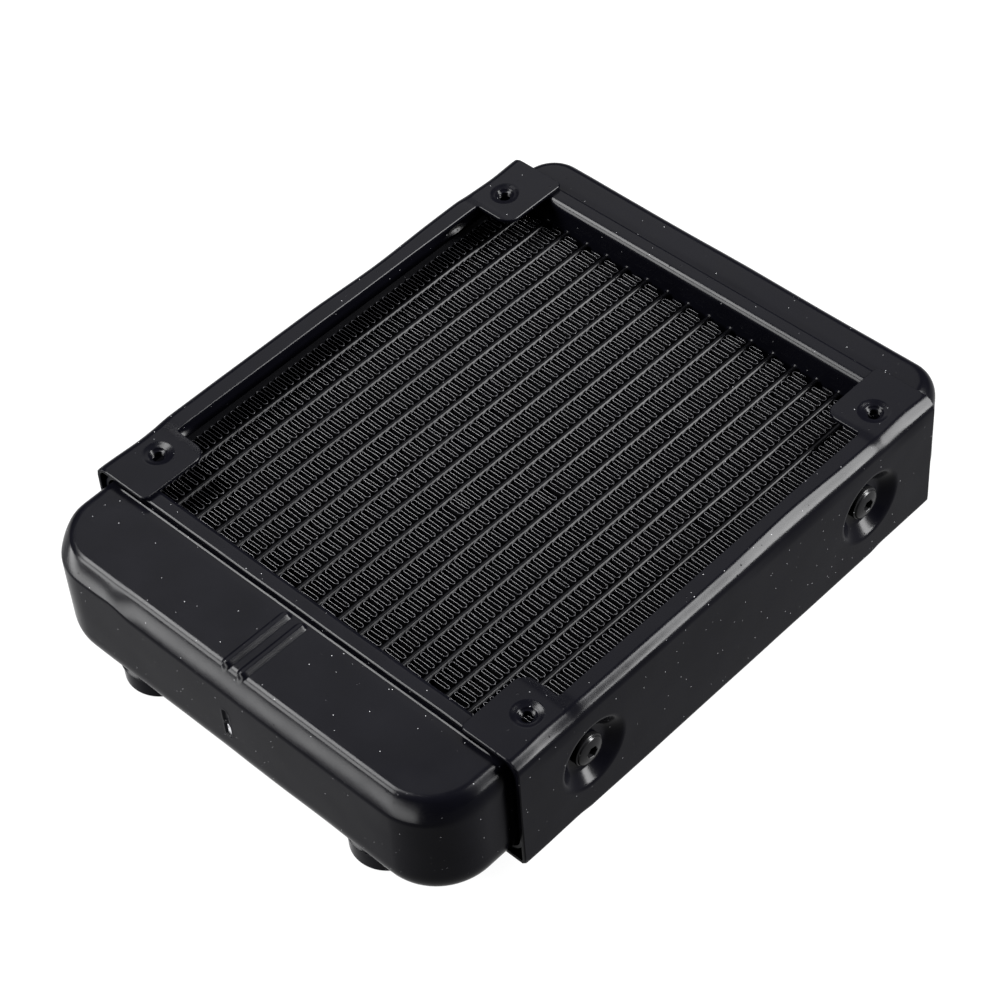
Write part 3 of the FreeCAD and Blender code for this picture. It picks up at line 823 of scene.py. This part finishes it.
def fin_strip(index):
    """One folded fin strip, its rounded edges in a lighter paint that is a painted highlight, and its
    few knocked folds.
    """
    node = "fin_%02d" % (index + 1)
    low, high = node_box(node)
    path = fin_path(index, low[0] + FIN_THICK / 2, high[0] - FIN_THICK / 2, low[1], high[1])
    run = np.gradient(path, axis=0)
    run /= np.linalg.norm(run, axis=1, keepdims=True)
    across = np.stack([-run[:, 1], run[:, 0]], axis=1)
    half = FIN_THICK / 2
    height = high[2] - low[2]
    crown = [(half, height - half), (0.62 * half, height - 0.25 * half),
             (-0.62 * half, height - 0.25 * half), (-half, height - half)]
    foot = [(-offset, height - z) for offset, z in crown]
    right = [(-half, share * height) for share in reversed(FIN_LEVELS)]
    left = [(half, share * height) for share in FIN_LEVELS]
    section = crown + right + foot + left
    # Faces round the top and bottom edges; they take the lighter paint, a painted highlight.
    edge_faces = {0, 1, 2, 6, 7, 8}
    knocks = [knock for knock in FIN_KNOCKS if knock[0] == index]
    sway = np.array([
        FIN_SWAY * noise.noise(Vector((index * 1.7, y / 3.0, x / 4.0))) for x, y in path
    ])
    rows = []
    for offset, z in section:
        ground = path + across * offset
        lean = sway * (z / height) ** 2
        for _, y, length, push in knocks:
            reach = np.exp(-((path[:, 1] - y) / length) ** 2)
            lean = lean + push * reach * smooth_step(z, 0.75 * height, height)
        level = np.full(len(path), low[2] + z)
        rows.append(np.stack([ground[:, 0], ground[:, 1] + lean, level], axis=1))
    points = np.stack(rows, axis=1).reshape(-1, 3)
    size = len(section)
    k = np.arange(len(path) - 1)[:, None] * size
    j = np.arange(size)[None, :]
    after = (j + 1) % size
    quads = np.stack([k + j, k + after, k + size + after, k + size + j], axis=2)
    slots = np.broadcast_to([1 if c in edge_faces else 0 for c in range(size)], quads.shape[:2])
    faces = quads.reshape(-1, 4).tolist()
    faces += [list(range(size)), list(range((len(path) - 1) * size, len(path) * size))]
    add_piece(
        "folded_" + node, points, faces, [fin_paint, fin_edge_paint], [node],
        slots.ravel().tolist() + [0, 0],
    )


for fin_index in range(TUBE_COUNT + 1):
    fin_strip(fin_index)

CHANNEL_EDGE_R = 0.12

for channel in ("core_channel_right", "core_channel_left"):
    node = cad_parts[channel]
    node.material_slots[0].material = core_paint
    rounding = node.modifiers.new("edges", "BEVEL")
    rounding.width = CHANNEL_EDGE_R * MM
    rounding.segments = 2
    rounding.limit_method = "ANGLE"
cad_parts["port_baffle"].material_slots[0].material = bare_metal

# ---- Header pans ----

HEADER_FACE_Y = HEADER_LOW[1]
HEADER_DEPTH = HEADER_HIGH[1] - HEADER_LOW[1]
HEADER_CORNER_R = 5.2
HEADER_BEND_R = 1.6
BRAZE_RISE = 0.35  # braze stands this far up each tube
SLOT_FIT = 0.05
HEADER_WAVE_SIZE = 15.0
HEADER_WAVE_DEPTH = 0.08


def header_rim():
    """From the face round the bend, along the wall, over the lip and back inside."""
    turn = np.linspace(0, math.pi / 2, 8)
    inner_r = HEADER_BEND_R - SHEET
    bend = [(HEADER_BEND_R * (1 - math.sin(a)), HEADER_BEND_R * (1 - math.cos(a))) for a in turn]
    wall = [(0.0, depth) for depth in (2.2, 2.9, 3.5, HEADER_DEPTH - 0.45)]
    lip = [(0.03, HEADER_DEPTH - 0.2), (0.14, HEADER_DEPTH - 0.05), (0.3, HEADER_DEPTH),
           (SHEET - 0.15, HEADER_DEPTH), (SHEET, HEADER_DEPTH - 0.15)]
    back = [
        (HEADER_BEND_R - inner_r * math.cos(a), HEADER_BEND_R - inner_r * math.sin(a))
        for a in turn[::2]
    ]
    return np.array(bend + wall + lip + back + [(HEADER_BEND_R, SHEET)])


def header_pan(side, tag):
    half_width = (HEADER_HIGH[0] - HEADER_LOW[0]) / 2
    half_height = (HEADER_HIGH[2] - HEADER_LOW[2]) / 2
    half_width = min(half_width, wall_x - SHEET - SLOT_FIT)
    half_height = min(half_height, MID_Z - SHEET)
    box = [(-half_width, -half_height), (half_width, -half_height),
           (half_width, half_height), (-half_width, half_height)]
    points, normals = rounded_loop([(u, v, HEADER_CORNER_R) for u, v in box], 2.0)
    outline = (points, normals, header_rim())
    braze = np.array([
        (0.55, 0.0), (0.4, -0.03), (0.22, -0.14), (0.1, -BRAZE_RISE), (0.02, -BRAZE_RISE),
        (0.0, 0.1), (0.0, SHEET - 0.1), (0.55, SHEET),
    ])
    holes = []
    half_slot = (CORE_HIGH_Z - CORE_LOW_Z) / 2 + SLOT_FIT
    for index in range(TUBE_COUNT):
        x = tube_x(index)
        thick = TUBE_HALF + SLOT_FIT
        slot_box = [(x - thick, -half_slot), (x + thick, -half_slot),
                    (x + thick, half_slot), (x - thick, half_slot)]
        loop, loop_normals = rounded_loop([(u, v, thick - 0.02) for u, v in slot_box], 2.0)
        holes.append((loop, -loop_normals, braze))
    inner = grid_points(np.arange(-57, 57.1, 1.5), np.arange(-13, 13.1, 1.6))

    def place(flat, depth):
        spots = np.stack([flat[:, 0], flat[:, 1], np.full(len(flat), 7.0 * side)], axis=1)
        lift = unevenness(spots, HEADER_WAVE_SIZE, HEADER_WAVE_DEPTH, SEED + 5)
        height = flat[:, 1]
        towards = np.sign(height) * smooth_step(np.abs(height), half_height - 2, half_height)
        return np.stack([
            flat[:, 0], side * (HEADER_FACE_Y + depth - lift), MID_Z + height + lift * towards
        ], axis=1)

    made, faces, known = pressed_sheet(place, outline, holes, inner)
    add_piece(
        tag + "_header_pan", made, faces, [tank_paint], [tag + "_header"],
        known=known,
    )


header_pan(1, "return")
header_pan(-1, "port")

# ---- Tanks ----

TANK_HALF_WIDTH = 57.5
TANK_OPEN_Y = 59.25
PORT_TANK_END_Y = 83.8
PORT_TANK_CORNER_R = 13.8
RETURN_TANK_END_Y = 72.9
RETURN_TANK_CORNER_R = 8.6
# The port tank's creased front edge as (inset, drop): where it leaves the face, how it bulges,
# where it meets the wall, and how long the two creases are
EDGE_FACE = (2.8, 0.0)
EDGE_BULGE = (1.1, 2.4)
EDGE_WALL = (0.0, 5.0)
FULL_EDGE_POWER = 2.3  # fullness of the rounder edges: 2 is an ellipse
FACE_EASE = 1.0
WALL_EASE = 0.6
FRONT_YS = (78.0, 83.0)  # from the corners to the front
KINK_X = -33.0  # the front edge of the port tank kinks here
KINK_XS = (-27.0, -35.0)
KINK_HALF_WIDTH = 3.2
EXTRA_DROP = 0.05  # shares of the drop: everywhere, left of the kink and in it
KINK_LIFT = 0.16
KINK_DENT = 0.12
CREASE_YS = (72.0, 82.0)  # the creased edge takes over from the rounder one here
FADE_DROPS = (0.8, 4.0)  # and its kink fades out this far below it
tank_half_height = MID_Z - RETURN_TANK_LOW[2]

PORT_HOLE_POINTS = 48
# Mesh across the ribs and tabs: a fine grid between these places along x
RIB_GRID_XS = np.arange(-6.0, 7.1, 0.25)
RIB_GRID_CLEAR = (-6.5, 7.5)
# Step where the tank tucks into its header pan, with a rolled bead on it
SEAM_YS = (65.6, 62.2)
SEAM_YS_FINE = np.arange(62.2, 65, 0.15)
SEAM_STEP = 0.22
BEAD_Y = 62.95
BEAD_HALF_WIDTH = 0.22
BEAD_RISE = 0.2
TANK_WAVES = ((22.0, 0.16, 0), (7.0, 0.03, 7))  # size, depth and noise shift
BOX_POWER = 6  # keeps the waves square to the tank's flat sides

RIB_RISE = 0.85
RIB_CREST = 0.5  # half width of the flat crest
RIB_FLANK = 0.75  # width of each flank
RIB_EASE = 0.4
RIB_XS = (-1.6, 2.8)
RIB_ENDS = (64.8, 80.4)
RIB_SHORTER_BELOW = 0.9
TAB_X = -0.9
TAB_CENTRES_Z = (12.0, 16.0)
TAB_HALF_WIDTH = 0.7
TAB_HALF_HEIGHT = 1.95
TAB_SINK = 0.38
TAB_EDGE = (-0.12, 0.16)  # the wall of the recess, as distances from the tab's outline
TAB_RIM = 0.35  # middle of the raised rim round the recess
TAB_RIM_HALF_WIDTH = 0.2
TAB_RIM_RISE = 0.05


def bezier(start, control, end, shares):
    t = np.asarray(shares)[:, None]
    return (1 - t) ** 2 * start + 2 * t * (1 - t) * control + t * t * end


def edge_profile():
    """(inset, drop) rows of a tank's pressed edge, from its face to its wall."""
    face, bulge, wall = (np.array(p) for p in (EDGE_FACE, EDGE_BULGE, EDGE_WALL))
    middle = bezier(face, bulge, wall, np.linspace(0.16, 0.9, 9))
    first = face + np.array([FACE_EASE, 0.0])
    last = wall + np.array([0.0, WALL_EASE])
    top = bezier(first, face, middle[0], np.linspace(0, 1, 7)[:-1])
    foot = bezier(middle[-1], wall, last, np.linspace(0, 1, 6)[1:])
    return np.concatenate([top, middle, foot])


def full_profile(rows):
    """The rounder edge that the tanks have everywhere else, with the same ends and rows."""
    inset, drop = rows[0, 0], rows[-1, 1]
    turn = np.linspace(0, math.pi / 2, len(rows))
    fullness = 2 / FULL_EDGE_POWER
    return np.column_stack([inset * (1 - np.sin(turn) ** fullness),
                            drop * (1 - np.maximum(np.cos(turn), 0) ** fullness)])


def tank_path(end_y, corner_r, fine_xs):
    """Points and inward normals round a tank's plan, from one end of its open side to the other."""
    half = TANK_HALF_WIDTH
    points = []
    normals = []
    for y in np.arange(TANK_OPEN_Y, end_y - corner_r, 1.0):
        points.append((-half, y))
        normals.append((1, 0))
    for a in np.radians(np.linspace(180, 90, 19)):
        points.append((-half + corner_r + corner_r * math.cos(a),
                       end_y - corner_r + corner_r * math.sin(a)))
        normals.append((-math.cos(a), -math.sin(a)))
    for x in fine_xs[(fine_xs > -half + corner_r + 0.5) & (fine_xs < half - corner_r - 0.5)]:
        points.append((x, end_y))
        normals.append((0, -1))
    split = next(k for k, (_, v) in enumerate(normals) if v == -1)
    left, left_normals = points[:split], normals[:split]
    points += [(-x, y) for x, y in reversed(left)]
    normals += [(-a, b) for a, b in reversed(left_normals)]
    return np.array(points, float), np.array(normals, float)


def rib_surface(z, x, y, below):
    """Height of a face once the ribs are pressed up through it, blended into the face."""
    face = z.copy()
    outer_end = RIB_ENDS[1] - RIB_SHORTER_BELOW * below
    for rib_x in RIB_XS:
        beyond = np.maximum(np.maximum(RIB_ENDS[0] - y, y - outer_end), 0)
        away = np.hypot(x - rib_x, beyond)
        mix = 1 - eased_ramp((away - RIB_CREST) / RIB_FLANK, RIB_EASE)
        face = face * (1 - mix) + (tank_half_height + RIB_RISE) * mix
    return face


def kinked_drop(path):
    """Share by which the pressed edge drops further along the path: less left of the kink."""
    x, y = path.T
    on_front = smooth_step(y, *FRONT_YS)
    left = smooth_step(x, *KINK_XS)
    dent = np.exp(-((x - KINK_X) / KINK_HALF_WIDTH) ** 2)
    return EXTRA_DROP - on_front * (KINK_LIFT * left + KINK_DENT * dent)


def tank_skin(end_y, corner_r, with_ports, side, shift):
    """Outer skin of a tank: face, pressed edge, wall, and the same below."""
    coarse = np.arange(-56, 56.1, 2.0)
    fine = np.concatenate([
        coarse[(coarse < RIB_GRID_CLEAR[0]) | (coarse > RIB_GRID_CLEAR[1])], RIB_GRID_XS,
    ]) if with_ports else coarse
    path, inward = tank_path(end_y, corner_r, np.sort(fine))
    profile = edge_profile()
    size = len(path)
    wall_step = 0.25 if with_ports else 1.0
    wall = np.arange(profile[-1, 1], 2 * tank_half_height - profile[-1, 1], wall_step)[1:]
    full = full_profile(profile)
    creased = smooth_step(path[:, 1], *CREASE_YS) * with_ports
    rows = [f + (p - f) * creased[:, None] for f, p in zip(full, profile)]
    rows += [np.tile((0.0, drop), (size, 1)) for drop in wall]
    rows += [np.tile((f[0], 2 * tank_half_height - f[1]), (size, 1)) for f in full[::-1]]
    ring = path + inward * profile[0, 0]
    across = np.arange(ring[-1, 0] - 2, ring[0, 0], -2.0)
    outline = np.concatenate([ring, [(x, TANK_OPEN_Y) for x in across if x > ring[0, 0] + 1]])
    face_ys = np.concatenate([
        np.arange(TANK_OPEN_Y + 0.6, 62.1, 0.8), SEAM_YS_FINE, np.arange(65.6, end_y, 1.2),
    ])
    inner = grid_points(np.arange(-56, 56.1, 2.2), face_ys)
    if with_ports:
        clear = (inner[:, 0] > RIB_GRID_CLEAR[0]) & (inner[:, 0] < RIB_GRID_CLEAR[1])
        rib_ys = np.concatenate([[60.2, 61.2], SEAM_YS_FINE, np.arange(65.1, 84, 0.35)])
        inner = np.concatenate([inner[~clear], grid_points(RIB_GRID_XS, rib_ys)])
    port_holes = [circle_loop(x, -PORT_Y, BOSS_SEAT_R, PORT_HOLE_POINTS)[0] for x in (-PORT_X, PORT_X)]
    top, top_faces, top_rings = triangulate(outline, [], inner)
    low, low_faces, low_rings = triangulate(outline, port_holes if with_ports else [], inner)
    flat = [np.column_stack([top, np.full(len(top), tank_half_height)])]
    flat.append(np.column_stack([low, np.full(len(low), -tank_half_height)]))
    faces = top_faces.tolist() + (low_faces[:, ::-1] + len(top)).tolist()
    total = len(top) + len(low)
    index_rows = [top_rings[0][:size]]
    for inset, drop in (row.T for row in rows[1:-1]):
        if with_ports:
            near_edge = 1 - smooth_step(drop - EDGE_WALL[1], *FADE_DROPS)
            drop = drop + drop * kinked_drop(path) * near_edge
        flat.append(np.column_stack([path + inward * inset[:, None], tank_half_height - drop]))
        index_rows.append(list(range(total, total + size)))
        total += size
    index_rows.append([len(top) + k for k in low_rings[0][:size]])
    for row, below in zip(index_rows, index_rows[1:]):
        for k in range(size - 1):
            faces.append([row[k], row[k + 1], below[k + 1], below[k]])
    points = np.concatenate(flat)
    x, y, z = points.T
    reach = np.abs(z)
    if with_ports:
        reach = rib_surface(reach, x, y, z < 0)
        for centre in TAB_CENTRES_Z:
            above = np.maximum(np.abs(z + MID_Z - centre) - (TAB_HALF_HEIGHT - TAB_HALF_WIDTH), 0)
            away = np.hypot(x - TAB_X, above) - TAB_HALF_WIDTH
            on_end = smooth_step(y, end_y - 0.3, end_y - 0.05)
            y = y - on_end * TAB_SINK * (1 - smooth_step(away, *TAB_EDGE))
            y = y + on_end * TAB_RIM_RISE * np.exp(-((away - TAB_RIM) / TAB_RIM_HALF_WIDTH) ** 2)
    on_face = smooth_step(reach, tank_half_height - 0.6, tank_half_height - 0.1)
    reach = reach - on_face * SEAM_STEP * smooth_step(y, *SEAM_YS)
    reach = reach + on_face * BEAD_RISE * np.exp(-((y - BEAD_Y) / BEAD_HALF_WIDTH) ** 2)
    z = np.where(z < 0, -1, 1) * reach
    spots = np.column_stack([x, y, z])
    bulge = sum(unevenness(spots, wave, height, shift + offset) for wave, height, offset in TANK_WAVES)
    free = smooth_step(y, 62.5, 66.0)
    centre = np.array([0.0, TANK_OPEN_Y, 0.0])
    away = spots - centre
    box = np.array([TANK_HALF_WIDTH, end_y - TANK_OPEN_Y, tank_half_height])
    weight = (np.abs(away) / box) ** BOX_POWER * np.sign(away)
    weight /= np.maximum(np.linalg.norm(weight, axis=1, keepdims=True), TINY)
    spots = spots + weight * (bulge * free)[:, None]
    return np.column_stack([spots[:, 0], side * spots[:, 1], MID_Z + spots[:, 2]]), faces


def thicken(points, faces, thickness):
    """Adds an inner skin and the rims that close it to an open skin."""
    corners = [[f[0], f[k], f[k + 1]] for f in faces for k in range(1, len(f) - 1)]
    normals = area_normals(points, np.array(corners))
    count = len(points)
    seen = dict.fromkeys((a, b) for face in faces for a, b in zip(face, face[1:] + face[:1]))
    rims = [(a, b) for a, b in seen if (b, a) not in seen]
    inner = [[count + k for k in reversed(face)] for face in faces]
    walls = [[b, a, count + a, count + b] for a, b in rims]
    return np.concatenate([points, points - normals * thickness]), faces + inner + walls


def consistent(points, faces):
    """The same faces, all wound the same way and facing outwards."""
    work = bmesh.new()
    made = [work.verts.new(p) for p in points]
    for face in faces:
        work.faces.new([made[k] for k in face])
    bmesh.ops.recalc_face_normals(work, faces=work.faces)
    work.verts.index_update()
    wound = [[v.index for v in face.verts] for face in work.faces]
    work.free()
    return wound


def tank(name, node, end_y, corner_r, with_ports, side, shift):
    points, faces = tank_skin(end_y, corner_r, with_ports, side, shift)
    points, faces = thicken(points, consistent(points, faces), SHEET)
    add_piece(name, points, faces, [tank_paint], [node])


tank("port_tank_shell", "port_tank", PORT_TANK_END_Y, PORT_TANK_CORNER_R, True, -1, 2.0)
tank("return_tank_shell", "return_tank", RETURN_TANK_END_Y, RETURN_TANK_CORNER_R, False, 1, 9.0)

# ---- Floor, light and camera ----

FAR_REST_Y = PLATE_HIGH[1]  # the object rests on the far ends of its plates
NEAR_REST_Y = PORT_Y + BOSS_R - 0.7  # and on the rims of its bosses
floor_slope = -BOSS_LOW[2] / (FAR_REST_Y - NEAR_REST_Y)

FLOOR_HALF = 3000.0
FLOOR_TONES = (0.010, 0.012)
LIGHT_TABLE = 0.95  # glow of the white table from below


def make_floor():
    """Wide pale floor through the points that the object rests on."""
    half = FLOOR_HALF
    corners = [(-half, -half), (half, -half), (half, half), (-half, half)]
    mesh = bpy.data.meshes.new("floor")
    places = [(x * MM, y * MM, (y - FAR_REST_Y) * floor_slope * MM) for x, y in corners]
    mesh.from_pydata(places, [], [(0, 1, 2, 3)])
    floor = bpy.data.objects.new("floor", mesh)
    bpy.context.scene.collection.objects.link(floor)
    material, tree, shader = new_material("pale_floor")
    coordinates = tree.nodes.new("ShaderNodeTexCoord").outputs["Object"]
    cloud = noise_node(tree, coordinates, FLOOR_HALF / 10, 2.0)
    tone = ramp_node(tree, cloud, list(zip((0.3, 0.7), FLOOR_TONES)))
    tree.links.new(tone, shader.inputs["Base Color"])
    shader.inputs["Roughness"].default_value = 0.9
    shader.inputs["Specular IOR Level"].default_value = 0.0
    shader.inputs["Emission Color"].default_value = (1, 1, 1, 1)
    shader.inputs["Emission Strength"].default_value = LIGHT_TABLE
    mesh.materials.append(material)


def soft_box(name, low_end, high_end, distance, width, radiance):
    """Strip softbox of even brightness that runs between two directions from the object."""
    low, high = (Vector(end).normalized() * distance for end in (low_end, high_end))
    towards = (low + high).normalized()
    along = (high - low).normalized()
    light = bpy.data.lights.new(name, "AREA")
    light.shape = "RECTANGLE"
    light.size = width
    light.size_y = (high - low).length
    light.energy = radiance * math.pi * light.size * light.size_y
    box = bpy.data.objects.new(name, light)
    turn = Matrix((along.cross(towards), along, towards)).transposed()
    box.matrix_world = Matrix.Translation((low + high) / 2) @ turn.to_4x4()
    bpy.context.scene.collection.objects.link(box)


make_floor()
soft_box("overhead_strip", (-0.495, -0.45, 0.74), (-0.495, 0.08, 0.86), 1.3, 0.40, 168.0)
soft_box("front_strip", (-0.495, -0.84, 0.22), (-0.495, -0.56, 0.66), 1.3, 0.55, 108.0)
soft_box("right_strip", (0.885, 0.464, 0.04), (0.12, 0.464, 0.87), 1.3, 0.34, 190.0)
soft_box("low_strip", (-0.30, -0.95, -0.09), (-0.30, -0.95, 0.12), 0.23, 0.40, 60.0)
soft_box("back_panel", (-0.60, 0.62, 0.50), (-0.40, 0.32, 0.86), 1.4, 0.70, 7.2)

world = bpy.data.worlds.new("studio")
world.use_nodes = True
world.node_tree.nodes["Background"].inputs["Color"].default_value = (0.97, 0.98, 1.0, 1)
world.node_tree.nodes["Background"].inputs["Strength"].default_value = 0.2
bpy.context.scene.world = world
bpy.context.scene.view_settings.view_transform = "Standard"

CAMERA_AT = Vector((0.30634, -0.29277, 0.47105))
CAMERA_AIM = Vector((0.00017, -0.00597, 0.01565))
CAMERA_ROLL = math.radians(-4.71)
camera_data = bpy.data.cameras.new("camera")
camera_data.lens = 106.26
camera_data.sensor_width = 36.0
camera = bpy.data.objects.new("camera", camera_data)
forward = (CAMERA_AIM - CAMERA_AT).normalized()
level = forward.cross(Vector((0, 0, 1))).normalized()
upright = level.cross(forward)
right = math.cos(CAMERA_ROLL) * level + math.sin(CAMERA_ROLL) * upright
up = math.cos(CAMERA_ROLL) * upright - math.sin(CAMERA_ROLL) * level
turn = Matrix((right, up, -forward)).transposed()
camera.matrix_world = Matrix.Translation(CAMERA_AT) @ turn.to_4x4()
bpy.context.scene.collection.objects.link(camera)
bpy.context.scene.camera = camera
